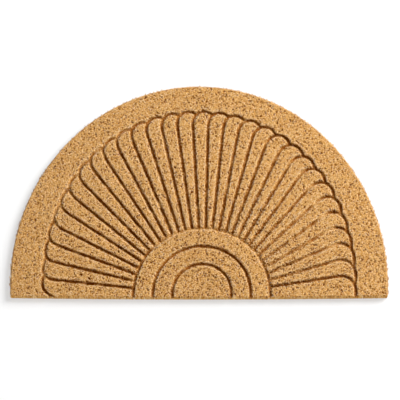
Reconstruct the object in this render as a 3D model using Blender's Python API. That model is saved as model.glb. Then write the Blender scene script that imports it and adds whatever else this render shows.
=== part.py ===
"""Half-round doormat of moulded coir pile, laid flat: a fan of petals above three half rings.

Metres, +Z up. The origin is under the middle of the mat's bounding box, on the face that lies on the floor.
The relief is laid out in the plan of the mat, where Y is zero at the middle of the straight front edge.
"""
from collections import namedtuple
from math import asin, ceil, copysign, cos, pi, radians, sin

import bmesh
import bpy
from mathutils import Vector
from mathutils.geometry import interpolate_bezier, intersect_point_line

# Mat: an oval top edge on a straight front edge.
HALF_WIDTH = 0.3805       # half the oval's width
RISE = 0.431              # from the oval's centre to the back edge
SPRING = 0.0339           # from the front edge to the oval's centre
THICKNESS = 0.015
FRONT_BOW = 0.003         # how far the front edge runs back at its two corners
CORNER = 0.006            # length of edge that each rounded corner takes
EDGE_ROUND = 0.0025       # rounding of the pile along the top edge
DEPTH = SPRING + RISE
OUTLINE_STEP = radians(3)
CORNER_STEPS = 4
ROUND_STEPS = 2

# Grooves: pressed channels with flared sides.
GROOVE_DEPTH = 0.005
MOUTH_HALF = 0.0044       # half width just above the pile
THROAT_HALF = 0.0029      # half width where the flare ends
FLOOR_HALF = 0.0019
MOUTH_RISE = 0.001        # the cutter's height above the pile
THROAT_DEPTH = 0.0012

# Three half rings at the middle of the front edge, which run off it at both ends.
RING_CENTRE = Vector((0.006, 0.0139))
RING_RADII = (0.0582, 0.0972, 0.1366)
Spread = namedtuple("Spread", "reach rise")
SPREADS = {               # how far the rings spread outwards at the front edge, and how high up that starts
    "right": Spread(0.002, 0.0214),
    "left": Spread(0.003, 0.07),
}
PAST_EDGE = 0.006         # how far a groove's cutter runs past the front edge
RING_STEP = radians(5)

# The fan: each groove leaves the outer ring straight, bends over as a petal's shoulder and dives to the cusp
# that it makes on the groove before it. Grooves are counted from the right.
GROOVES = 31
Run = namedtuple("Run", "first last sway lean")   # in degrees; sway and lean are drifts from even spacing
RUNS = {
    "foot": Run(3.2, 183.2, 1.1, 0.3),      # on the outer ring, about its centre
    "neck": Run(1.6, 184.2, -1.5, 0.4),     # where the straight ends, about the oval's centre
    "cusp": Run(-7.45, 177.4, -0.1, 0.5),   # where the groove ends, about the oval's centre
}
LAST_TURN = radians(1.3)  # the necks' extra turn at the last groove, whose petals are wider
LAST_FEW = 20             # power that keeps the extra turn to the last few grooves
RIM = 0.0626              # plain band between the fan's cusps and the edge
RIM_WIDER = 0.0028        # added at the sides, and taken off at the back
RIM_WAVE = 0.0023         # added at the sides and the back, and taken off between them
NECK_IN = 0.088           # from the edge to where a groove's straight ends
NECK_RIGHT = 0.0146       # added towards the right, where the petals have longer shoulders
TIP_OUT = 0.0046          # a petal's tip past its cusp
TIP_WAVE = 0.0014         # added at the back, and taken off at the sides
TIP_SHARE = 0.39          # the tip's place on the way from cusp to neck
TIP_RIGHT = 0.06          # added to that share towards the right
TIP_SIDES = -0.034        # added at the sides, and taken off at the back
SHOULDER_PULL = 0.59      # handle lengths, as shares of the span they shape
CROWN_PULL = 0.34
FALL_PULL = 0.33
CUSP_PULL = 0.3
CUSP_DIVE = 0.29          # how steeply a groove dives into its cusp
SHOULDER_STEPS = 8
FALL_STEPS = 5
LAST_SLOPE = Vector((-0.85, 0.53))   # the last groove comes up from under the front edge
LAST_RUN = 0.02

WELD = 0.00001            # points nearer than this are one
FLAT = radians(0.1)       # faces that meet at less than this are one
COIR = (0.52, 0.29, 0.10, 1.0)


def clear_scene():
    for obj in list(bpy.data.objects):
        bpy.data.objects.remove(obj, do_unlink=True)


def new_collection(name):
    collection = bpy.data.collections.new(name)
    bpy.context.scene.collection.children.link(collection)
    return collection


def coir_material():
    material = bpy.data.materials.new("coir")
    material.use_nodes = True
    shader = material.node_tree.nodes["Principled BSDF"]
    shader.inputs["Base Color"].default_value = COIR
    shader.inputs["Roughness"].default_value = 0.95
    shader.inputs["Metallic"].default_value = 0.0
    return material


def outward(angle):
    """Direction square to the oval's edge."""
    return Vector((cos(angle) / HALF_WIDTH, sin(angle) / RISE)).normalized()


def oval_point(angle, inset=0.0):
    """Point on the oval at this angle, moved in from the edge, square to it."""
    return Vector((HALF_WIDTH * cos(angle), SPRING + RISE * sin(angle))) - inset * outward(angle)


def clockwise(angle):
    """Direction along the oval's edge, from left to right over the back."""
    return Vector((HALF_WIDTH * sin(angle), -RISE * cos(angle))).normalized()


def front_edge(x):
    return FRONT_BOW * (x / HALF_WIDTH) ** 2


def bend(start, pull, push, end, steps):
    """Points of a smooth bend after its start, with a handle at each end."""
    points = interpolate_bezier(*(v.to_3d() for v in (start, pull, push, end)), steps + 1)
    return [v.to_2d() for v in points[1:]]


def mat_outline():
    """Counter-clockwise outline: front edge, right corner, oval, left corner."""
    low = -asin((SPRING - FRONT_BOW - CORNER) / RISE)
    side = oval_point(low)
    foot_x = side.x - CORNER
    spans = ceil(2 * foot_x / (HALF_WIDTH * OUTLINE_STEP))
    front = [Vector((x, front_edge(x))) for x in (foot_x * (2 * k / spans - 1) for k in range(spans + 1))]
    arc_steps = ceil((pi - 2 * low) / OUTLINE_STEP)
    arc = [oval_point(low + k * (pi - 2 * low) / arc_steps) for k in range(arc_steps + 1)]
    right = Vector((side.x, front_edge(side.x)))
    left = Vector((-side.x, front_edge(side.x)))
    right_corner = bend(front[-1], right, right, arc[0], CORNER_STEPS)[:-1]
    left_corner = bend(arc[-1], left, left, front[0], CORNER_STEPS)[:-1]
    return front + right_corner + arc + left_corner


def run_angle(run, index):
    """Angle of one of a run's points, the first at index 1."""
    even = radians(run.first + (run.last - run.first) * (index - 1) / (GROOVES - 1))
    return even + radians(run.sway * sin(2 * even) + run.lean * cos(2 * even))


def rim_width(angle):
    return RIM + RIM_WIDER * cos(2 * angle) + RIM_WAVE * cos(4 * angle)


def ring_point(radius, angle):
    """Point of a ring, which spreads a little towards its ends at the front edge."""
    point = RING_CENTRE + radius * Vector((cos(angle), sin(angle)))
    spread = SPREADS["right" if cos(angle) > 0 else "left"]
    reach = spread.reach * max(0.0, 1 - point.y / spread.rise) ** 2
    return point + Vector((copysign(reach, cos(angle)), 0.0))


def fan_groove(index):
    """Centre line of one of the fan's grooves, from the ring to its cusp."""
    foot_angle = run_angle(RUNS["foot"], index)
    foot = ring_point(RING_RADII[-1], foot_angle)
    neck_angle = run_angle(RUNS["neck"], index) + LAST_TURN * (index / GROOVES) ** LAST_FEW
    neck = oval_point(neck_angle, NECK_IN + NECK_RIGHT * max(0.0, cos(neck_angle)) ** 2)
    if index == GROOVES:
        foot = neck - LAST_RUN * LAST_SLOPE
    cusp_angle = run_angle(RUNS["cusp"], index)
    cusp = oval_point(cusp_angle, rim_width(cusp_angle))
    share = TIP_SHARE + TIP_RIGHT * cos(cusp_angle) + TIP_SIDES * cos(2 * cusp_angle)
    tip_angle = cusp_angle + share * (neck_angle - cusp_angle)
    tip = oval_point(tip_angle, rim_width(tip_angle) - TIP_OUT + TIP_WAVE * cos(2 * tip_angle))
    rise = (neck - foot).normalized()
    over = clockwise(tip_angle)
    dive = (clockwise(cusp_angle) - CUSP_DIVE * outward(cusp_angle)).normalized()
    reach = (tip - neck).length
    fall = (cusp - tip).length
    up = neck + SHOULDER_PULL * reach * rise
    crown = tip - CROWN_PULL * reach * over
    shoulder = bend(neck, up, crown, tip, SHOULDER_STEPS)
    down = tip + FALL_PULL * fall * over
    drop = bend(tip, down, cusp - CUSP_PULL * fall * dive, cusp, FALL_STEPS)
    return [foot, neck] + shoulder + drop


def nearest_on_line(point, line):
    """The place on a chain of straight pieces that lies nearest to this point."""
    places = []
    for start, end in zip(line, line[1:]):
        share = intersect_point_line(point, start, end)[1]
        places.append(start.lerp(end, min(1.0, max(0.0, share))))
    return min(places, key=lambda place: (place - point).length)


def fan_grooves():
    """All the fan's grooves, each with its cusp on the groove before it."""
    lines = []
    for index in range(1, GROOVES + 1):
        line = fan_groove(index)
        if lines:
            line[-1] = nearest_on_line(line[-1], lines[-1])
        lines.append(line)
    return lines


def ring_groove(radius):
    """Centre line of a half ring's groove, run past the front edge at both ends."""
    below = asin((RING_CENTRE.y + PAST_EDGE) / radius)
    steps = ceil((pi + 2 * below) / RING_STEP)
    return [ring_point(radius, -below + k * (pi + 2 * below) / steps) for k in range(steps + 1)]


def flat_curve(name, points, cyclic, collection, height=0.0, shift=0.0):
    """A 2D curve object through plan points."""
    curve = bpy.data.curves.new(name, "CURVE")
    curve.dimensions = "2D"
    spline = curve.splines.new("POLY")
    spline.points.add(len(points) - 1)
    for point, place in zip(spline.points, points):
        point.co = (place.x, place.y, 0.0, 1.0)
    spline.use_cyclic_u = cyclic
    obj = bpy.data.objects.new(name, curve)
    obj.location = (0.0, shift, height)
    collection.objects.link(obj)
    return obj


def to_mesh(curve_obj, collection):
    """Replace a curve object by a closed mesh object of the same name."""
    name = curve_obj.name
    bpy.context.view_layer.update()
    evaluated = curve_obj.evaluated_get(bpy.context.evaluated_depsgraph_get())
    mesh = bpy.data.meshes.new_from_object(evaluated)
    matrix = curve_obj.matrix_world.copy()
    bpy.data.objects.remove(curve_obj, do_unlink=True)
    shape = bmesh.new()
    shape.from_mesh(mesh)
    bmesh.ops.remove_doubles(shape, verts=shape.verts, dist=WELD)
    bmesh.ops.dissolve_limit(shape, angle_limit=FLAT, verts=shape.verts, edges=shape.edges)
    bmesh.ops.recalc_face_normals(shape, faces=shape.faces)
    shape.to_mesh(mesh)
    shape.free()
    obj = bpy.data.objects.new(name, mesh)
    obj.matrix_world = matrix
    collection.objects.link(obj)
    return obj


def groove_section(collection):
    """Cross-section of a groove's cutter: a trapezoid floor under a flared mouth."""
    half = [
        Vector((FLOOR_HALF, -GROOVE_DEPTH)),
        Vector((THROAT_HALF, -THROAT_DEPTH)),
        Vector((MOUTH_HALF, MOUTH_RISE)),
    ]
    other = [Vector((-point.x, point.y)) for point in reversed(half)]
    return flat_curve("groove_section", half + other, True, collection)


def groove_cutters(collection):
    """One closed cutter for each groove of the fan and the rings."""
    section = groove_section(collection)
    lines = {f"fan_groove_{index:02d}": line for index, line in enumerate(fan_grooves(), 1)}
    lines.update({f"ring_groove_{k}": ring_groove(radius) for k, radius in enumerate(RING_RADII, 1)})
    for name, line in lines.items():
        curve = flat_curve(name, line, False, collection, THICKNESS, -DEPTH / 2)
        curve.data.bevel_mode = "OBJECT"
        curve.data.bevel_object = section
        curve.data.use_fill_caps = True
        cutter = to_mesh(curve, collection)
        cutter.hide_render = True
        cutter.display_type = "WIRE"
    bpy.data.objects.remove(section, do_unlink=True)


def round_top_edge(obj):
    """Round the pile over along the top of the cut edge."""
    shape = bmesh.new()
    shape.from_mesh(obj.data)
    top = max(vert.co.z for vert in shape.verts)
    rim = [edge for edge in shape.edges if all(top - vert.co.z < WELD for vert in edge.verts)]
    bmesh.ops.bevel(shape, geom=rim, offset=EDGE_ROUND, segments=ROUND_STEPS, profile=0.5, affect="EDGES")
    shape.to_mesh(obj.data)
    shape.free()


def coir_mat(parts, cutters):
    """The whole mat, one slab of pile with its pressed relief."""
    curve = flat_curve("coir_mat", mat_outline(), True, parts, THICKNESS / 2, -DEPTH / 2)
    curve.data.fill_mode = "BOTH"
    curve.data.extrude = THICKNESS / 2
    mat = to_mesh(curve, parts)
    mat.data.materials.clear()
    mat.data.materials.append(coir_material())
    round_top_edge(mat)
    groove_cutters(cutters)
    cut = mat.modifiers.new("relief", "BOOLEAN")
    cut.operation = "DIFFERENCE"
    cut.operand_type = "COLLECTION"
    cut.collection = cutters
    cut.solver = "EXACT"
    return mat


def main():
    clear_scene()
    parts = new_collection("half_round_doormat")
    cutters = new_collection("cutters")
    coir_mat(parts, cutters)


main()
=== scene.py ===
"""Looks of the half-round coir doormat: pressed body, standing pile, pale floor, soft light and camera.

Metres, in the frame of the solids. The relief repeats the part's plan, in which Y is zero at the middle of
the straight front edge; PLAN_SHIFT takes the plan to the frame.
"""
from collections import namedtuple
from math import asin, atan2, ceil, copysign, cos, pi, radians, sin

import bpy
import numpy as np
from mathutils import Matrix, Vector
from mathutils.geometry import delaunay_2d_cdt, interpolate_bezier
from mathutils.kdtree import KDTree


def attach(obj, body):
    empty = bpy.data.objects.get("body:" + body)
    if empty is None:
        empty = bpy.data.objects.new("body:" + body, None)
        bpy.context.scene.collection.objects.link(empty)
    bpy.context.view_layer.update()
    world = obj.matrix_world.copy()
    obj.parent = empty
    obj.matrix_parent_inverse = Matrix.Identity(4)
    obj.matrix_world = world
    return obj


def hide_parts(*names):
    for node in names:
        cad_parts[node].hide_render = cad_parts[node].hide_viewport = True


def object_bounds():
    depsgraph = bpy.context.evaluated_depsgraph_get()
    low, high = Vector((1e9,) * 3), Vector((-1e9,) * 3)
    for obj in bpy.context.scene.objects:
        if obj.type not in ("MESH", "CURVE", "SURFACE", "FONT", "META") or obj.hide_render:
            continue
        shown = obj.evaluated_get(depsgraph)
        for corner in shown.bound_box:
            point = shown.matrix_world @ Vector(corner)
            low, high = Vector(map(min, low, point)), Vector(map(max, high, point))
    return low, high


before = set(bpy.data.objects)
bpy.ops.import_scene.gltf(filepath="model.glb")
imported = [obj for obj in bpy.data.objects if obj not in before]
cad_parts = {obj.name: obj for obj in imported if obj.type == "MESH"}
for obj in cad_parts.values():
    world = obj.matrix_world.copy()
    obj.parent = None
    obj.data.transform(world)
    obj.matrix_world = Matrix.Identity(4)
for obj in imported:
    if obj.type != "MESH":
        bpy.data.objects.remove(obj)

CAD_LOW, CAD_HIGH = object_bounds()
HALF_WIDTH = CAD_HIGH.x
DEPTH = CAD_HIGH.y - CAD_LOW.y
THICKNESS = CAD_HIGH.z
PLAN_SHIFT = CAD_LOW.y

# Plan of the mat and of its relief, as in the part.
SPRING = 0.0339
RISE = DEPTH - SPRING
FRONT_BOW = 0.003
CORNER = 0.006
RING_CENTRE = Vector((0.006, 0.0139))
RING_RADII = (0.0582, 0.0972, 0.1366)
Spread = namedtuple("Spread", "reach rise")
SPREADS = {"right": Spread(0.002, 0.0214), "left": Spread(0.003, 0.07)}
PAST_EDGE = 0.006
GROOVES = 31
Run = namedtuple("Run", "first last sway lean")
RUNS = {
    "foot": Run(3.2, 183.2, 1.1, 0.3),
    "neck": Run(1.6, 184.2, -1.5, 0.4),
    "cusp": Run(-7.45, 177.4, -0.1, 0.5),
}
LAST_TURN = radians(1.3)
LAST_FEW = 20
RIM = 0.0626
RIM_WIDER = 0.0028
RIM_WAVE = 0.0023
NECK_IN = 0.088
NECK_RIGHT = 0.0146
TIP_OUT = 0.0046
TIP_WAVE = 0.0014
TIP_SHARE = 0.39
TIP_RIGHT = 0.06
TIP_SIDES = -0.034
SHOULDER_PULL = 0.59
CROWN_PULL = 0.34
FALL_PULL = 0.33
CUSP_PULL = 0.3
CUSP_DIVE = 0.29
LAST_SLOPE = Vector((-0.85, 0.53))
LAST_RUN = 0.02
BEND_STEPS = 24

# Relief: how the top falls into a groove, by the distance from the groove's middle.
GROOVE_DEPTH = 0.0057
FLOOR_HALF = 0.0025
WALL_HALF = 0.0042
SHOULDER_HALF = 0.0082    # where the rounding beside a groove ends
SHOULDER_DROP = 0.00085
WOBBLE = 0.00055          # unevenness of a groove's sides
WOBBLE_LENGTH = 0.005
DEPTH_DRIFT = 0.1         # share by which a groove's depth varies along it
DRIFT_LENGTH = 0.025
DARK_FROM = (0.3, 1.0)    # shares of the depth at which a groove's painted shade sets in and is darkest
LINE_SAMPLE = 0.0004      # spacing of the places that distances are taken to

# Where the grooves are pressed less deep: the share of the depth that is missing, and the directions from
# the rings' centre, in degrees from the right, over which that sets in and over which it ends.
Less = namedtuple("Less", "share start end")
OUTER_RING_LESS = Less(0.4, (0, 50), (120, 160))
RUN_LESS = Less(0.2, (8, 18), (36, 50))
NECK_LESS = Less(0.28, (8, 18), (55, 80))
HOOK_LESS = Less(0.22, (92, 130), (180, 181))
HOOK_REACH = 0.02                 # past its neck, a groove's run turns into its hook within this
NECK_REACH = 0.3 * HOOK_REACH     # nearer to the neck than this, the neck's full share is missing

# Pits: small gaps between the bunches of fibre.
PIT_STEP = 0.0043
PIT_JITTER = 0.48
PIT_REACH = 0.0015
PIT_FLOOR = 0.25          # share of the reach at which a pit starts to rise
PIT_DEPTH = 0.0021
PIT_SPREAD = 1.35         # the cube of a random number up to this is a pit's share of the depth
PIT_DEEPEST = 1.5         # the most that this share may be
DEEPER_MIDDLE = 0.8                # how much deeper, and so darker, the pits are towards the middle: painted shade for light falling off there
PIT_OPEN = 0.0006         # no fibre end covers a pit deeper than this
PIT_CLEAR = 0.0042        # no pit lies nearer than this to the middle of a groove, where it isn't rugged
RUGGED_RING = 0.003       # the rugged places set in over this, at the outer ring
RUGGED_OUT = (0.19, 0.27)     # distances from the rings' centre over which they end
RUGGED_RIGHT = (0.0, 0.08)    # distances to the right of it over which they set in

# Body: the dense pile below the free fibre ends.
PILE = 0.0006             # height of the fibre ends over the body
WALL_IN = 0.0005          # the body's wall, in from the cut edge
EDGE_ROUND = 0.0024
EDGE_STEP = 0.002         # spacing of points along the edge
MEAN_RADIUS = 0.4         # of the round edge, roughly, for the number of points along it
CORNER_STEPS = 6
RIM_CLEAR = 0.0008        # no point of the open top lies nearer than this to the rounded rim
BACKING = 0.0008          # bonded layer at the underside
BACKING_BLUR = 0.0001     # the colour changes over this, above and below the backing's top
GROOVE_STEP = 0.0024      # spacing of points along a groove
GROOVE_ROWS = (0.0, 0.0013, 0.0022, 0.0029, 0.0036, 0.0044, 0.0060)
FIELD_STEP = 0.0024       # spacing of points away from the grooves
FIELD_JITTER = 0.3
PIT_ROOM = 0.6            # share of a pit's reach in which its own point is the only one
BODY_ROUGH = 0.00014
UNDER_STEP = 0.02
STAGGER = 0.87            # spacing of a staggered grid's rows, as a share of that of its columns
INSIDE = 1                # fill only what lies inside the outline
SAME_PLACE = 1e-7

# Fibre ends on the top.
TUFT_STEP = 0.00138     # spacing of the fibre ends
TUFT_JITTER = 0.42
TUFT_CLEAR = 0.0007       # none is rooted nearer than this to the cut edge
TUFT_HALF = 0.00053
TIP_HALF = 0.00035
ROOT_SUNK = 0.0005        # how far the roots reach into the body
PRESSED = 0.45            # share of the height that is lost at a groove's floor
RISE_SPREAD = 0.0001
SHORTEST = 0.0003
LONGER = 0.0009           # how much higher than the pile the highest may stand
LEAN_SPREAD = 0.0003
CLUMP_STEP = 0.0021       # the pile stands in small bunches
CLUMP_JITTER = 0.45
CLUMP_SPREAD = 0.7        # how unequally hollow the bunches are
CLUMP_USUAL = 1.25        # about the mean of the draws, which counts as no hollow
CLUMP_RISE = 0.00022      # how much lower a bunch stands for its hollowness
CLUMP_SHADE_TONE = 1.9          # how much darker it is for that: painted shade in the lower bunches, and so also a tone that differs by chance from bunch to bunch
CLUMP_GATHER = 0.45       # share of the way that fibre ends lean to the middle of their bunch
GROOVE_LEAN = 0.0002      # how far they lean into a groove from its sides
LEAN_FROM = (0.0008, 0.0016)  # distances from its middle over which that lean sets in
LEAN_TO = (0.0026, 0.006)     # and over which it ends
GROOVE_NEAR = 0.0002      # nearer than this, that lean is less
GROOVE_SHADE = 1.3         # painted shade: how much darker they are in a groove, partly as the pressed fibre is darker there
PIT_SHADE = 3.5            # painted shade: how much darker they are at a pit
SHOULDER_HIGHLIGHT = 1.7       # painted highlight: how much paler they are beside a groove
HIGHLIGHT_FROM = (0.0028, 0.0044)  # distances from its middle over which that painted highlight sets in
HIGHLIGHT_TO = (0.0060, 0.0088)    # and over which it ends

# Fibres on the cut side, whole from top to bottom.
STRAND_STEP = 0.0009
STRAND_HALF = 0.00042
STRAND_OUT = 0.0002       # how far their roots stand out of the body's wall
STRAND_LEAN = 0.0006      # along the edge
STRAND_FOOT = (0.3, 1.4)      # shares of the backing's height at which they start
STRAND_TOP = (0.25, 1.2)      # shares of the edge's rounding by which they end below the top
STRAND_SHORT = (0.45, 0.85)   # shares of that height which the second fibre at each place has
# Painted light: how much paler the fibres on the cut side are made, as if lit there.
SIDE_PAINTED_LIGHT = 0.2
SIDE_SPREAD = 0.4         # how unequally dark they are

# Fray: how unevenly bunches of fibre stand out along the edge.
FRAY = 0.0015
FRAY_LENGTH = 0.0062      # length of those bunches along the edge
FRAY_WAVE = 0.9           # how much of it runs in waves along the edge
FRAY_CLUMP = 0.5          # how much of it differs by chance from bunch to bunch
FRAY_STRAND = 0.4         # how much of it differs from fibre to fibre on the side
FRAY_RIGHT = 0.45         # more of it on the right
FRAY_FRONT = 0.35         # share of it along the straight front edge
FRAY_BEHIND = (0.004, 0.016)  # distances from the front over which the rest sets in
FRAY_ACROSS = (0.0, 0.2)      # distances to the right over which it grows
FRAY_INSIDE = 0.004       # fibre ends farther inside than this don't take part
TUFT_FRAY = (0.0006, -0.0010, 0.0030)     # usual, least and greatest reach
STRAND_FRAY = (0.0005, 0.0, 0.0030)

# Shades of the pile, from the palest to the darkest: its share, darker tone and lighter tone.
SHADES = {
    "straw": (0.25, (0.78, 0.66, 0.45), (0.91, 0.83, 0.69)),
    "golden": (0.24, (0.67, 0.46, 0.19), (0.79, 0.59, 0.30)),
    "ochre": (0.21, (0.54, 0.285, 0.06), (0.68, 0.41, 0.12)),
    "amber": (0.16, (0.36, 0.11, 0.010), (0.52, 0.21, 0.028)),
    "umber": (0.14, (0.13, 0.022, 0.002), (0.26, 0.06, 0.006)),
}
SHADE_SPREAD = 0.4        # how much chance there is in which shade a fibre gets
SHADE_MOTTLE = 0.1        # how much paler and darker patches of the mat count in that
TONE_SPREAD = 0.2         # how much the fibres of one shade differ by chance
TONE_MOTTLE = 0.1         # how much they differ from patch to patch
MOTTLE_LENGTH = 0.016     # length of those patches

# Colours of the body: along its speckle, and what they are multiplied by: painted shade in grooves (partly
# the darker pressed fibre) and in pits, and the bonded layer's own colour underneath.
BODY_TONES = (
    (0.34, (0.16, 0.042, 0.006)),
    (0.44, (0.46, 0.20, 0.035)),
    (0.54, (0.64, 0.375, 0.12)),
    (0.68, (0.86, 0.67, 0.39)),
)
BODY_SHADE_AND_TINTS = {
    "fall": (0.44, 0.27, 0.15),
    "pit": (0.24, 0.065, 0.014),
    "under": (0.36, 0.33, 0.34),
}
FIBRE_STRETCH = (1.0, 1.0, 0.12)      # the speckle is drawn out in height, as the fibres stand

# Places on the unfolded body.
UNFOLD_MARGIN = 0.002
UNDER_SCALE = 0.55
UNDER_CORNER = (0.02, 0.65)

# Studio.
FLOOR_GAP = 0.0002
STAGE_HALF = 3.0
KEY_TURN = radians(36)
KEY_HEIGHT = radians(36)
KEY_AWAY = 5.0
FILL_LEFT = 0.15
FILL_HEIGHT = radians(14)
FILL_ANGLE = radians(40)
VIEW_HEIGHT = radians(67.5)
VIEW_AWAY = 8.0
VIEW_TARGET = Vector((0.00181, 0.21127 + PLAN_SHIFT, 0.015))

# Seeds of the random draws and of the waves.
PIT_SEED = 7
MOTTLE_SEED = 13
PILE_SEED = 17
FRAY_SEED = 19
FIELD_SEED = 27
ROUGH_SEED = 28
WOBBLE_SEED = 37
DRIFT_SEED = 38

# The least values that are divided by.
LEAST_LEVEL = 0.001
LEAST_SLOPE = 1e-9


def smooth(low, high, value):
    """Zero below low, one above high and a smooth rise between them."""
    share = np.clip((value - low) / (high - low), 0.0, 1.0)
    return share * share * (3.0 - 2.0 * share)


def band(start, end, value):
    """One between two smooth steps: the first up, the second down."""
    return smooth(*start, value) * (1.0 - smooth(*end, value))


def ripple(points, wavelength, seed, waves=28):
    """Smooth noise of about unit height: many waves of nearly one length in random directions."""
    rng = np.random.default_rng(seed)
    angle = rng.uniform(0.0, 2 * pi, waves)
    number = 2 * pi / (wavelength * rng.uniform(0.7, 1.5, waves))
    phase = rng.uniform(0.0, 2 * pi, waves)
    total = np.zeros(len(points))
    for a, k, p in zip(angle, number, phase):
        total += np.sin(k * (points[:, 0] * cos(a) + points[:, 1] * sin(a)) + p)
    return total / np.sqrt(waves / 2)


# Plan of the relief.


def outward(angle):
    return Vector((cos(angle) / HALF_WIDTH, sin(angle) / RISE)).normalized()


def oval_point(angle, inset=0.0):
    return Vector((HALF_WIDTH * cos(angle), SPRING + RISE * sin(angle))) - inset * outward(angle)


def clockwise(angle):
    return Vector((HALF_WIDTH * sin(angle), -RISE * cos(angle))).normalized()


def bend(start, pull, push, end, steps):
    points = interpolate_bezier(*(v.to_3d() for v in (start, pull, push, end)), steps + 1)
    return [v.to_2d() for v in points[1:]]


def run_angle(run, index):
    even = radians(run.first + (run.last - run.first) * (index - 1) / (GROOVES - 1))
    return even + radians(run.sway * sin(2 * even) + run.lean * cos(2 * even))


def rim_width(angle):
    return RIM + RIM_WIDER * cos(2 * angle) + RIM_WAVE * cos(4 * angle)


def ring_point(radius, angle):
    point = RING_CENTRE + radius * Vector((cos(angle), sin(angle)))
    spread = SPREADS["right" if cos(angle) > 0 else "left"]
    reach = spread.reach * max(0.0, 1 - point.y / spread.rise) ** 2
    return point + Vector((copysign(reach, cos(angle)), 0.0))


def fan_groove(index):
    """Centre line of one of the fan's grooves, from the ring over a petal's shoulder to its cusp."""
    foot_angle = run_angle(RUNS["foot"], index)
    foot = ring_point(RING_RADII[-1], foot_angle)
    neck_angle = run_angle(RUNS["neck"], index) + LAST_TURN * (index / GROOVES) ** LAST_FEW
    neck = oval_point(neck_angle, NECK_IN + NECK_RIGHT * max(0.0, cos(neck_angle)) ** 2)
    if index == GROOVES:
        foot = neck - LAST_RUN * LAST_SLOPE
    cusp_angle = run_angle(RUNS["cusp"], index)
    cusp = oval_point(cusp_angle, rim_width(cusp_angle))
    share = TIP_SHARE + TIP_RIGHT * cos(cusp_angle) + TIP_SIDES * cos(2 * cusp_angle)
    tip_angle = cusp_angle + share * (neck_angle - cusp_angle)
    tip = oval_point(tip_angle, rim_width(tip_angle) - TIP_OUT + TIP_WAVE * cos(2 * tip_angle))
    over = clockwise(tip_angle)
    dive = (clockwise(cusp_angle) - CUSP_DIVE * outward(cusp_angle)).normalized()
    reach = (tip - neck).length
    fall = (cusp - tip).length
    up = neck + SHOULDER_PULL * reach * (neck - foot).normalized()
    shoulder = bend(neck, up, tip - CROWN_PULL * reach * over, tip, BEND_STEPS)
    drop = bend(tip, tip + FALL_PULL * fall * over, cusp - CUSP_PULL * fall * dive, cusp, BEND_STEPS)
    return [foot, neck] + shoulder + drop


def ring_groove(radius):
    below = asin((RING_CENTRE.y + PAST_EDGE) / radius)
    steps = 4 * BEND_STEPS
    return [ring_point(radius, -below + k * (pi + 2 * below) / steps) for k in range(steps + 1)]


def evenly(line, step):
    """Points along a line at about this spacing, and the direction of the line at each."""
    corners = np.array([tuple(point) for point in line])
    legs = np.linalg.norm(np.diff(corners, axis=0), axis=1)
    along = np.concatenate([[0.0], np.cumsum(legs)])
    places = np.linspace(0.0, along[-1], ceil(along[-1] / step) + 1)
    points = np.stack([np.interp(places, along, corners[:, k]) for k in (0, 1)], axis=1)
    ahead = np.gradient(points, axis=0)
    return points, ahead / np.linalg.norm(ahead, axis=1)[:, None]


FAN_LINES = [fan_groove(index) for index in range(1, GROOVES + 1)]
RING_LINES = [ring_groove(radius) for radius in RING_RADII]
LINES = FAN_LINES + RING_LINES


# The edge and the inside of the mat.


def front_edge(x):
    return FRONT_BOW * (x / HALF_WIDTH) ** 2


def mat_outline(inset, step):
    """Counter-clockwise outline at an inset from the cut edge, with rounded corners."""
    low = -asin((SPRING - FRONT_BOW - CORNER) / RISE)
    side = oval_point(low)
    foot_x = side.x - CORNER
    spans = ceil(2 * foot_x / step)
    front_xs = [foot_x * (2 * k / spans - 1) for k in range(spans + 1)]
    front = [Vector((x, front_edge(x) + inset)) for x in front_xs]
    arc_steps = ceil((pi - 2 * low) * MEAN_RADIUS / step)
    arc = [oval_point(low + k * (pi - 2 * low) / arc_steps, inset) for k in range(arc_steps + 1)]
    right = Vector((side.x - inset, front_edge(side.x) + inset))
    left = Vector((inset - side.x, front_edge(side.x) + inset))
    right_corner = bend(front[-1], right, right, arc[0], CORNER_STEPS)[:-1]
    left_corner = bend(arc[-1], left, left, front[0], CORNER_STEPS)[:-1]
    return np.array([tuple(v) for v in front + right_corner + arc + left_corner])


def edge_distance(points):
    """How far inside the cut edge each point lies; negative outside. Exact enough near the edge."""
    x, y = points[:, 0] / HALF_WIDTH, (points[:, 1] - SPRING) / RISE
    level = np.hypot(x, y)
    slope = np.hypot(x / HALF_WIDTH, y / RISE) / np.maximum(level, LEAST_LEVEL)
    to_oval = (1.0 - level) / np.maximum(slope, LEAST_LEVEL)
    to_front = points[:, 1] - front_edge(points[:, 0])
    side, base = CORNER - to_oval, CORNER - to_front
    round_corner = CORNER - np.hypot(side, base)
    return np.where((side > 0) & (base > 0), round_corner, np.minimum(to_oval, to_front))


def edge_direction(points):
    """Direction out of the mat at its cut edge."""
    step = 0.0002
    here = edge_distance(points)
    x = edge_distance(points + [step, 0.0]) - here
    y = edge_distance(points + [0.0, step]) - here
    slope = -np.stack([x, y], axis=1)
    return slope / np.maximum(np.linalg.norm(slope, axis=1), LEAST_SLOPE)[:, None]


def from_rings(points):
    """Each point as seen from the rings' centre."""
    return points - np.array(tuple(RING_CENTRE))


def search_tree(points):
    tree = KDTree(len(points))
    for index, point in enumerate(points):
        tree.insert((point[0], point[1], 0.0), index)
    tree.balance()
    return tree


def nearest(tree, points):
    """Nearest of a tree's places to each point: where it is, how far away and its number."""
    found = [tree.find((x, y, 0.0)) for x, y in points]
    places = np.array([(place.x, place.y) for place, _, _ in found])
    distances = np.array([distance for _, _, distance in found])
    return places, distances, np.array([number for _, number, _ in found])


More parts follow.
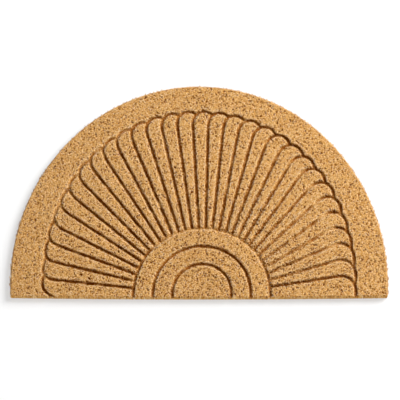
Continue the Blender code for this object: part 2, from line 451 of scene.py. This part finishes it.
def jittered(step, jitter, rng):
    """Staggered grid over the mat's box, each point moved by up to this share of the step."""
    columns = np.arange(-HALF_WIDTH - step, HALF_WIDTH + step, step)
    rows = np.arange(-step, DEPTH + step, step * STAGGER)
    x, y = np.meshgrid(columns, rows)
    x = x + (np.arange(len(rows)) % 2)[:, None] * step / 2
    plan = np.stack([x.ravel(), y.ravel()], axis=1)
    return plan + rng.uniform(-jitter, jitter, plan.shape) * step


def rugged(points):
    """Where pits break into the grooves: between the petals of the right half, near the rings."""
    offset = from_rings(points)
    near = band((RING_RADII[-1] - RUGGED_RING, RING_RADII[-1]), RUGGED_OUT, np.linalg.norm(offset, axis=1))
    return smooth(*RUGGED_RIGHT, offset[:, 0]) * near


def pit_places():
    """Where the pits lie, and the depth of each."""
    rng = np.random.default_rng(PIT_SEED)
    plan = jittered(PIT_STEP, PIT_JITTER, rng)
    plan = plan[nearest(GROOVE_TREE, plan)[1] > PIT_CLEAR * (1.0 - rugged(plan))]
    # Deeper pits towards the middle, with their painted shade: painted shade for light falling off there.
    deeper_middle = 1.0 + DEEPER_MIDDLE * (1.0 - smooth(0.0, RING_RADII[-1], np.linalg.norm(from_rings(plan), axis=1)))
    share = deeper_middle * rng.uniform(0.0, PIT_SPREAD, len(plan)) ** 3
    return plan, PIT_DEPTH * np.minimum(share, PIT_DEEPEST)


def missing(less, turn):
    """Share of the depth that is missing in a direction."""
    start, end = (smooth(radians(low), radians(high), turn) for low, high in (less.start, less.end))
    return less.share * start * (1.0 - end)


def depth_share(line, points):
    """Share of the full depth along a fan groove: some is missing in its run, at its neck or in its hook."""
    foot, neck = (np.array(tuple(corner)) for corner in line[:2])
    past_neck = np.linalg.norm(points - foot, axis=1) - np.linalg.norm(neck - foot)
    hook = smooth(0.0, HOOK_REACH, past_neck)
    near_neck = 1.0 - smooth(NECK_REACH, HOOK_REACH, np.abs(past_neck))
    turn = atan2(neck[1] - RING_CENTRE.y, neck[0] - RING_CENTRE.x)
    run_less = missing(RUN_LESS, turn) * (1.0 - hook)
    neck_less = missing(NECK_LESS, turn) * near_neck
    return 1.0 - run_less - neck_less - missing(HOOK_LESS, turn) * hook


SAMPLES = [evenly(line, LINE_SAMPLE)[0] for line in LINES]
FAN_SHARES = [depth_share(line, points) for line, points in zip(FAN_LINES, SAMPLES)]
DEPTH_SHARES = np.concatenate(FAN_SHARES + [np.ones(len(points)) for points in SAMPLES[GROOVES:]])
OUTER_RING_START = sum(len(points) for points in SAMPLES[:-1])
GROOVE_TREE = search_tree(np.vstack(SAMPLES))
PIT_PLAN, PIT_DEPTHS = pit_places()
PIT_TREE = search_tree(PIT_PLAN)


def groove_fall(points):
    """How far the top lies below its plain height."""
    place, distance, number = nearest(GROOVE_TREE, points)
    wobble = WOBBLE * (1.0 + rugged(points)) * ripple(points, WOBBLE_LENGTH, WOBBLE_SEED)
    distance = np.abs(distance + wobble)
    offset = from_rings(place)
    ring_share = 1.0 - missing(OUTER_RING_LESS, np.arctan2(offset[:, 1], offset[:, 0]))
    drift = 1.0 + DEPTH_DRIFT * ripple(points, DRIFT_LENGTH, DRIFT_SEED)
    depth = GROOVE_DEPTH * drift * DEPTH_SHARES[number]
    depth = depth * np.where(number >= OUTER_RING_START, ring_share, 1.0)
    wall = 1.0 - smooth(FLOOR_HALF, WALL_HALF, distance)
    shoulder = np.clip(1.0 - distance / SHOULDER_HALF, 0.0, 1.0) ** 2
    return (depth - SHOULDER_DROP) * wall + SHOULDER_DROP * shoulder


def pit_fall(points):
    """How far the top falls into the nearest pit."""
    _, distance, number = nearest(PIT_TREE, points)
    return PIT_DEPTHS[number] * (1.0 - smooth(PIT_FLOOR * PIT_REACH, PIT_REACH, distance))


def edge_fall(inside):
    """How far the pile's top rolls down at the cut edge."""
    share = 1.0 - np.clip(inside / EDGE_ROUND, 0.0, 1.0)
    return EDGE_ROUND * (1.0 - np.sqrt(1.0 - share * share))


# The pressed body.


def body_points():
    """Plan points of the body's top: rows beside each groove, the pits, and an open field elsewhere."""
    sets = []
    for line in LINES:
        points, ahead = evenly(line, GROOVE_STEP)
        across = np.stack([-ahead[:, 1], ahead[:, 0]], axis=1)
        for row in GROOVE_ROWS:
            for side in (1, -1) if row else (1,):
                sets.append(points + side * row * across)
    field = jittered(FIELD_STEP, FIELD_JITTER, np.random.default_rng(FIELD_SEED))
    far = nearest(GROOVE_TREE, field)[1] > GROOVE_ROWS[-1] + FIELD_STEP / 3
    sets.append(field[far])
    points = np.vstack(sets)
    points = points[nearest(PIT_TREE, points)[1] > PIT_REACH * PIT_ROOM]
    points = np.vstack([PIT_PLAN, points])
    points = points[edge_distance(points) > WALL_IN + EDGE_ROUND + RIM_CLEAR]
    cell = np.round(points / (GROOVE_STEP / 3)).astype(int)
    kept = np.unique(cell, axis=0, return_index=True)[1]
    return points[np.sort(kept)]


def fill(loop, inner):
    """Triangles between an outline and the points inside it."""
    count = len(loop)
    coords = [Vector(tuple(p)) for p in np.vstack([loop, inner])]
    edges = [(k, (k + 1) % count) for k in range(count)]
    verts, _, faces, *_ = delaunay_2d_cdt(coords, edges, [], INSIDE, SAME_PLACE)
    return np.array([tuple(v) for v in verts]), faces


def body_mesh():
    """Closed body: pressed top, rounded rim, wall and flat underside.

    Gives its vertices, its faces, the unfolded place of each vertex, and how many faces come before the
    underside's.
    """
    rng = np.random.default_rng(ROUGH_SEED)
    top_loop = mat_outline(WALL_IN + EDGE_ROUND, EDGE_STEP)
    plan, faces = fill(top_loop, body_points())
    fall = groove_fall(plan)
    count = len(top_loop)
    rough = BODY_ROUGH * rng.standard_normal(len(plan))
    height = THICKNESS - PILE - fall - pit_fall(plan) + rough
    height[:count] = THICKNESS - PILE - fall[:count]
    verts = [np.column_stack([plan, height])]
    unfolded = [plan]
    faces = [tuple(face) for face in faces]
    above = np.arange(count)
    out = edge_direction(mat_outline(0.0, EDGE_STEP))
    base = len(plan)
    for inset, level in wall_rows(fall[:count]):
        ring = mat_outline(WALL_IN + inset, EDGE_STEP)
        verts.append(np.column_stack([ring, level]))
        unfolded.append(ring + out * (THICKNESS - level)[:, None])
        below = np.arange(base, base + count)
        for k in range(count):
            after = (k + 1) % count
            faces.append((above[k], below[k], below[after], above[after]))
        above = below
        base += count
    walls = len(faces)
    under_plan, under_faces = fill(verts[-1][:, :2], under_points())
    extra = under_plan[count:]
    verts.append(np.column_stack([extra, np.zeros(len(extra))]))
    unfolded.append(extra)
    index = np.concatenate([above, np.arange(base, base + len(extra))])
    faces += [tuple(int(index[v]) for v in reversed(face)) for face in under_faces]
    return np.vstack(verts), faces, np.vstack(unfolded), walls


def wall_rows(fall):
    """Inset and height of each ring of points down the wall."""
    top = THICKNESS - PILE
    for angle in (pi / 6, pi / 3, pi / 2):
        yield EDGE_ROUND * (1 - sin(angle)), top - EDGE_ROUND * (1 - cos(angle)) - fall * cos(angle / 2)
    for level in (top / 2, BACKING + BACKING_BLUR, BACKING - BACKING_BLUR, 0.0):
        yield 0.0, np.full(len(fall), level)


def under_points():
    x, y = np.meshgrid(np.arange(-HALF_WIDTH, HALF_WIDTH, UNDER_STEP), np.arange(0.0, DEPTH, UNDER_STEP))
    points = np.stack([x.ravel(), y.ravel()], axis=1)
    return points[edge_distance(points) > UNDER_STEP / 3]


def new_object(name, verts, faces, material):
    mesh = bpy.data.meshes.new(name)
    verts = np.array(verts, dtype=float)
    verts[:, 1] += PLAN_SHIFT
    mesh.from_pydata(verts.tolist(), [], [tuple(int(v) for v in face) for face in faces])
    mesh.validate()
    mesh.materials.append(material)
    obj = bpy.data.objects.new(name, mesh)
    bpy.context.scene.collection.objects.link(obj)
    return obj


def point_value(mesh, name, values):
    layer = mesh.attributes.new(name, "FLOAT", "POINT")
    layer.data.foreach_set("value", np.asarray(values, dtype=np.float32))


def unfold(mesh, unfolded, plan, walls):
    """UV map: the top with its walls folded out, and the underside beside it at a smaller scale."""
    span = 2 * (HALF_WIDTH + THICKNESS + UNFOLD_MARGIN)
    corner = np.array([-span / 2, -THICKNESS - UNFOLD_MARGIN])
    above = (unfolded - corner) / span
    under = (plan - corner) / span * UNDER_SCALE + UNDER_CORNER
    loops = np.empty(len(mesh.loops), dtype=int)
    mesh.loops.foreach_get("vertex_index", loops)
    starts = np.empty(len(mesh.polygons), dtype=int)
    mesh.polygons.foreach_get("loop_start", starts)
    first_under = starts[walls]
    places = np.vstack([above[loops[:first_under]], under[loops[first_under:]]])
    layer = mesh.uv_layers.new(name="OFBake")
    layer.data.foreach_set("uv", places.ravel())


def body():
    verts, faces, unfolded, walls = body_mesh()
    obj = new_object("pressed_body", verts, faces, body_material())
    mesh = obj.data
    plan, height = verts[:, :2], verts[:, 2]
    on_top = height > THICKNESS / 3
    # These carry painted shade in the grooves (partly the darker pressed fibre) and in the pits.
    fall = smooth(*DARK_FROM, groove_fall(plan) / GROOVE_DEPTH)
    point_value(mesh, "fall", np.where(on_top, fall, 0.0))
    point_value(mesh, "pit", np.where(on_top, pit_fall(plan) / PIT_DEPTH, 0.0))
    point_value(mesh, "under", height < BACKING)
    unfold(mesh, unfolded, plan, walls)
    mesh.shade_smooth()
    return obj


# Materials.


def add_node(tree, kind, **values):
    node = tree.nodes.new(kind)
    for key, value in values.items():
        if hasattr(node, key):
            setattr(node, key, value)
        else:
            node.inputs[key.replace("_", " ")].default_value = value
    return node


def shader_of(material):
    material.use_nodes = True
    return material.node_tree, material.node_tree.nodes["Principled BSDF"]


def colour_ramp(tree, stops):
    ramp = tree.nodes.new("ShaderNodeValToRGB")
    elements = ramp.color_ramp.elements
    elements[0].position, elements[0].color = stops[0][0], (*stops[0][1], 1.0)
    elements[1].position, elements[1].color = stops[-1][0], (*stops[-1][1], 1.0)
    for place, colour in stops[1:-1]:
        elements.new(place).color = (*colour, 1.0)
    return ramp


def pile_material(name, dark, light):
    """Dry fibre: each tuft has its own tone, with a rough, dry surface."""
    material = bpy.data.materials.new(name)
    tree, shader = shader_of(material)
    tone = add_node(tree, "ShaderNodeAttribute", attribute_name="tone")
    ramp = colour_ramp(tree, [(0.0, dark), (1.0, light)])
    tree.links.new(tone.outputs["Fac"], ramp.inputs["Fac"])
    tree.links.new(ramp.outputs["Color"], shader.inputs["Base Color"])
    shader.inputs["Roughness"].default_value = 0.82
    shader.inputs["Specular IOR Level"].default_value = 0.0
    return material


def body_material():
    """Dense coir: mottled fibre, with painted shade in the grooves (partly the darker pressed fibre) and in
    the pits, and a bonded brown layer underneath.
    """
    material = bpy.data.materials.new("dense_coir")
    tree, shader = shader_of(material)
    places = tree.nodes.new("ShaderNodeTexCoord")
    stretch = add_node(tree, "ShaderNodeMapping", Scale=FIBRE_STRETCH)
    speckle = add_node(tree, "ShaderNodeTexNoise", Scale=560.0, Detail=3.0, Roughness=0.6)
    ramp = colour_ramp(tree, BODY_TONES)
    links = tree.links
    links.new(places.outputs["Object"], stretch.inputs["Vector"])
    links.new(stretch.outputs["Vector"], speckle.inputs["Vector"])
    links.new(speckle.outputs["Fac"], ramp.inputs["Fac"])
    colour = ramp.outputs["Color"]
    # Multiplied in: painted shade in grooves and pits, and the bonded layer's own colour underneath.
    for name, tint in BODY_SHADE_AND_TINTS.items():
        layer = add_node(tree, "ShaderNodeAttribute", attribute_name=name)
        mix = add_node(tree, "ShaderNodeMix", data_type="RGBA", blend_type="MULTIPLY")
        mix.inputs["B"].default_value = (*tint, 1.0)
        links.new(layer.outputs["Fac"], mix.inputs["Factor"])
        links.new(colour, mix.inputs["A"])
        colour = mix.outputs["Result"]
    links.new(colour, shader.inputs["Base Color"])
    bump = add_node(tree, "ShaderNodeBump", Strength=0.8, Distance=0.0007)
    links.new(speckle.outputs["Fac"], bump.inputs["Height"])
    links.new(bump.outputs["Normal"], shader.inputs["Normal"])
    shader.inputs["Roughness"].default_value = 0.95
    shader.inputs["Specular IOR Level"].default_value = 0.0
    return material


# The standing pile.


def fray(points):
    """How much fray there is: most on the right of the round edge, least on the straight one."""
    behind = smooth(*FRAY_BEHIND, points[:, 1])
    right = behind * smooth(*FRAY_ACROSS, points[:, 0])
    return FRAY_FRONT + (1.0 - FRAY_FRONT) * behind + FRAY_RIGHT * right


def stand_out(points, uneven, usual, least, greatest):
    """How far the fibre at each point stands out of the mat."""
    return np.clip(usual + FRAY * fray(points) * uneven, least, greatest)


def top_tufts(rng):
    """Roots and tips of the fibre ends on the top, and how dark each is, with painted shade and painted
    highlight in that.
    """
    plan = jittered(TUFT_STEP, TUFT_JITTER, rng)
    inside = edge_distance(plan)
    plan, inside = plan[inside > TUFT_CLEAR], inside[inside > TUFT_CLEAR]
    place, distance, _ = nearest(GROOVE_TREE, plan)
    clumps = jittered(CLUMP_STEP, CLUMP_JITTER, rng)
    clump = nearest(search_tree(clumps), plan)[2]
    fall = groove_fall(plan)
    pit = pit_fall(plan)
    low = THICKNESS - PILE - fall - edge_fall(inside) - pit
    free = PILE * (1.0 - PRESSED * fall / GROOVE_DEPTH)
    hollow = np.exp(CLUMP_SPREAD * rng.standard_normal(len(clumps))) - CLUMP_USUAL
    rise = RISE_SPREAD * rng.standard_normal(len(plan)) - CLUMP_RISE * hollow[clump]
    top = low + np.clip(free + rise, SHORTEST, PILE + LONGER)
    root = np.column_stack([plan, low - ROOT_SUNK])
    lean = LEAN_SPREAD * rng.standard_normal(plan.shape) - CLUMP_GATHER * (plan - clumps[clump])
    to_groove = (place - plan) / np.maximum(distance, GROOVE_NEAR)[:, None]
    lean += GROOVE_LEAN * band(LEAN_FROM, LEAN_TO, distance)[:, None] * to_groove
    chance = rng.standard_normal(len(clumps))[clump]
    uneven = FRAY_WAVE * ripple(plan, FRAY_LENGTH, FRAY_SEED) + FRAY_CLUMP * chance
    reach = stand_out(plan, uneven, *TUFT_FRAY) * (1.0 - smooth(0.0, FRAY_INSIDE, inside))
    lean += reach[:, None] * edge_direction(plan)
    tip = np.column_stack([plan + lean, top])
    # Painted shade in grooves, at pits and in lower bunches; painted highlight beside grooves.
    dark = GROOVE_SHADE * smooth(*DARK_FROM, fall / GROOVE_DEPTH)
    dark = dark + PIT_SHADE * pit / PIT_DEPTH + CLUMP_SHADE_TONE * hollow[clump]
    dark = dark - SHOULDER_HIGHLIGHT * band(HIGHLIGHT_FROM, HIGHLIGHT_TO, distance)
    kept = pit < PIT_OPEN
    return root[kept], tip[kept], dark[kept]


def side_strands(rng):
    """Roots and tips of the fibres that show on the cut side, from the backing to the rounded rim."""
    loop = mat_outline(WALL_IN, STRAND_STEP)
    plan = np.vstack([loop, loop])
    plan += rng.uniform(-0.5, 0.5, plan.shape) * STRAND_STEP
    out = edge_direction(plan)
    foot = BACKING * rng.uniform(*STRAND_FOOT, len(plan))
    top = THICKNESS - EDGE_ROUND * rng.uniform(*STRAND_TOP, len(plan))
    short = top * rng.uniform(*STRAND_SHORT, len(plan))
    top = np.where(np.arange(len(plan)) < len(loop), top, short)
    chance = rng.standard_normal(len(plan))
    uneven = FRAY_WAVE * ripple(plan, FRAY_LENGTH, FRAY_SEED) + FRAY_STRAND * chance
    reach = stand_out(plan, uneven, *STRAND_FRAY)
    across = STRAND_LEAN * rng.standard_normal(len(plan))
    side = np.stack([-out[:, 1], out[:, 0]], axis=1)
    root = np.column_stack([plan + STRAND_OUT * out, foot])
    tip = np.column_stack([plan + reach[:, None] * out + across[:, None] * side, top])
    return root, tip


def slivers(root, tip, half, rng):
    """Closed four-faced tufts, each with an edge at its root and an edge across it at its tip."""
    upright, lowest = 0.9, 0.0001
    axis = tip - root
    axis /= np.linalg.norm(axis, axis=1)[:, None]
    turn = rng.uniform(0.0, 2 * pi, len(root))
    helper = np.where(np.abs(axis[:, 2:3]) > upright, [[1.0, 0.0, 0.0]], [[0.0, 0.0, 1.0]])
    first = np.cross(axis, helper)
    first /= np.linalg.norm(first, axis=1)[:, None]
    second = np.cross(axis, first)
    a = np.cos(turn)[:, None] * first + np.sin(turn)[:, None] * second
    b = np.cross(axis, a) * (half * TIP_HALF / TUFT_HALF)[:, None]
    a = a * half[:, None]
    verts = np.stack([root - a, root + a, tip - b, tip + b], axis=1)
    corner = np.array([(0, 1, 2), (1, 0, 3), (2, 3, 0), (3, 2, 1)])
    faces = corner[None] + 4 * np.arange(len(root))[:, None, None]
    verts[:, :, 2] = np.maximum(verts[:, :, 2], lowest)
    return verts.reshape(-1, 3), faces.reshape(-1, 3)


def pile():
    """The pile as a few joined pieces, one for each shade of fibre."""
    rng = np.random.default_rng(PILE_SEED)
    root, tip, dark = top_tufts(rng)
    side_root, side_tip = side_strands(rng)
    half = np.concatenate([np.full(len(root), TUFT_HALF), np.full(len(side_root), STRAND_HALF)])
    root, tip = np.vstack([root, side_root]), np.vstack([tip, side_tip])
    # The side fibres' painted light.
    dark = np.concatenate([dark, SIDE_SPREAD * rng.standard_normal(len(side_root)) - SIDE_PAINTED_LIGHT])
    mottle = ripple(root[:, :2], MOTTLE_LENGTH, MOTTLE_SEED)
    order = SHADE_SPREAD * rng.standard_normal(len(root)) + SHADE_MOTTLE * mottle - dark
    ranked = np.empty(len(order), dtype=int)
    ranked[np.argsort(-order)] = np.arange(len(order))
    pieces = []
    start = 0
    for name, (share, dark, light) in SHADES.items():
        stop = start + share * len(order)
        mine = (ranked >= start) & (ranked < stop)
        start = stop
        verts, faces = slivers(root[mine], tip[mine], half[mine], rng)
        obj = new_object(f"pile_{name}", verts, faces, pile_material(f"coir_{name}", dark, light))
        tone = 0.5 + TONE_SPREAD * rng.standard_normal(mine.sum()) + TONE_MOTTLE * mottle[mine]
        point_value(obj.data, "tone", np.repeat(np.clip(tone, 0.0, 1.0), 4))
        pieces.append(obj)
    return pieces


# Floor, lights and camera.


def floor():
    """The floor lies a hair under the mat, so that the two faces don't coincide."""
    corners = ((-1, -1), (1, -1), (1, 1), (-1, 1))
    verts = [(STAGE_HALF * x, STAGE_HALF * y, -FLOOR_GAP) for x, y in corners]
    material = bpy.data.materials.new("white_floor")
    _, shader = shader_of(material)
    shader.inputs["Base Color"].default_value = (0.35, 0.35, 0.35, 1.0)
    shader.inputs["Roughness"].default_value = 0.9
    shader.inputs["Emission Color"].default_value = (1.0, 1.0, 1.0, 1.0)
    shader.inputs["Emission Strength"].default_value = 0.555
    obj = new_object("floor", verts, [(0, 1, 2, 3)], material)


def lights():
    """A pale sky, a large soft key from behind on the right, and a low fill from the front."""
    world = bpy.data.worlds.new("studio")
    bpy.context.scene.world = world
    bpy.context.scene.view_settings.view_transform = "Standard"
    world.use_nodes = True
    background = world.node_tree.nodes["Background"]
    background.inputs["Color"].default_value = (1.0, 0.95, 0.88, 1.0)
    background.inputs["Strength"].default_value = 0.11
    key = bpy.data.lights.new("key", "AREA")
    key.shape = "DISK"
    key.size = 3.8
    key.energy = 600.0
    obj = bpy.data.objects.new("key", key)
    level = cos(KEY_HEIGHT)
    towards = Vector((cos(KEY_TURN) * level, sin(KEY_TURN) * level, sin(KEY_HEIGHT)))
    obj.location = KEY_AWAY * towards
    aim(obj, towards)
    fill = bpy.data.lights.new("fill", "SUN")
    fill.energy = 1.9
    fill.angle = FILL_ANGLE
    towards = Vector((-FILL_LEFT, -cos(FILL_HEIGHT), sin(FILL_HEIGHT)))
    aim(bpy.data.objects.new("fill", fill), towards)


def aim(obj, towards):
    """Put a light or camera in the scene, facing away from this direction."""
    obj.rotation_mode = "QUATERNION"
    obj.rotation_quaternion = towards.to_track_quat("Z", "Y")
    bpy.context.scene.collection.objects.link(obj)


def camera():
    """The photograph's view: from the front, high above the mat."""
    data = bpy.data.cameras.new("camera")
    data.sensor_width = 36.0
    data.lens = 354.37
    data.clip_end = 50.0
    obj = bpy.data.objects.new("camera", data)
    back = Vector((0.0, -cos(VIEW_HEIGHT), sin(VIEW_HEIGHT)))
    obj.location = VIEW_TARGET + VIEW_AWAY * back
    aim(obj, back)
    bpy.context.scene.camera = obj


def main():
    camera()
    mat = body()
    tufts = pile()
    for piece in [mat] + tufts:
        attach(piece, "root")
    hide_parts("coir_mat")
    floor()
    lights()


main()
